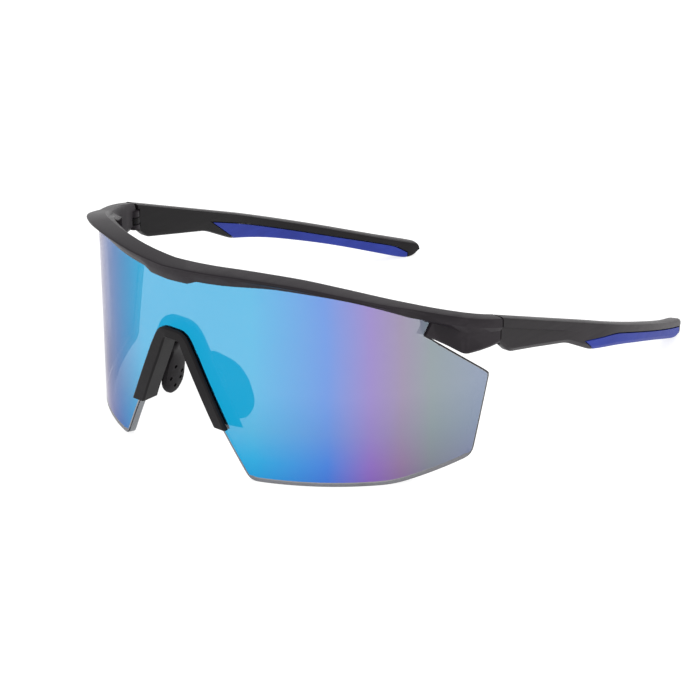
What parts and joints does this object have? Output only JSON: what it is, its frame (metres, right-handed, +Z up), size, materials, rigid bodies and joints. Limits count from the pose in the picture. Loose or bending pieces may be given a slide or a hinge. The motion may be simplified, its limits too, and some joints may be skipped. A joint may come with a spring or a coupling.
{
  "type": "wraparound sport sunglasses",
  "caption": "Wraparound sport sunglasses: one-piece shield lens under a brow bar, clip-on nosepiece with bendable pads, folding temples with rubber grips.",
  "frame": {"origin": "middle of the underside of the bounding box, on the surface that the glasses stand on", "axes": "+Z up, the wearer looks along -Y and the temples run back along +Y, +X is the wearer's left"},
  "size_m": [0.141, 0.1676, 0.0595],
  "materials": {
    "frame": "satin charcoal-black moulded nylon",
    "temple": "satin charcoal-black moulded nylon",
    "lens": "polished polycarbonate with a blue-to-violet mirror coating",
    "nose_clip": "satin black moulded plastic",
    "nose_pad": "soft matt black rubber",
    "pad_wire": "plain bendable steel",
    "grip": "soft matt royal-blue rubber",
    "screw": "plated steel",
    "insert": "plain brass"
  },
  "bodies": {
    "front": {"front_frame": "frame", "lens": "lens", "nose_bridge": "nose_clip", "hinge_screw_left": "screw", "hinge_screw_right": "screw", "hinge_insert_left": "insert", "hinge_insert_right": "insert"},
    "temple_arm_left": {"temple_left": "temple", "temple_grip_left": "grip"},
    "temple_arm_right": {"temple_right": "temple", "temple_grip_right": "grip"},
    "pad_left": {"nose_pad_left": "nose_pad", "nose_wire_left": "pad_wire"},
    "pad_right": {"nose_pad_right": "nose_pad", "nose_wire_right": "pad_wire"}
  },
  "joints": [
    {"name": "temple_fold_left", "type": "hinge", "parent": "front", "child": "temple_arm_left", "pos_m": [0.067, -0.02825, 0.04], "axis": [0, 0, 1], "range_deg": [0, 94]},
    {"name": "temple_fold_right", "type": "hinge", "parent": "front", "child": "temple_arm_right", "pos_m": [-0.067, -0.02825, 0.04], "axis": [0, 0, -1], "range_deg": [0, 86]},
    {"name": "pad_bend_left", "type": "hinge", "parent": "front", "child": "pad_left", "pos_m": [0.00594, -0.07559, 0.033], "axis": [0, 1, 0], "range_deg": [-8, 8]},
    {"name": "pad_bend_right", "type": "hinge", "parent": "front", "child": "pad_right", "pos_m": [-0.00594, -0.07559, 0.033], "axis": [0, -1, 0], "range_deg": [-8, 8]}
  ]
}
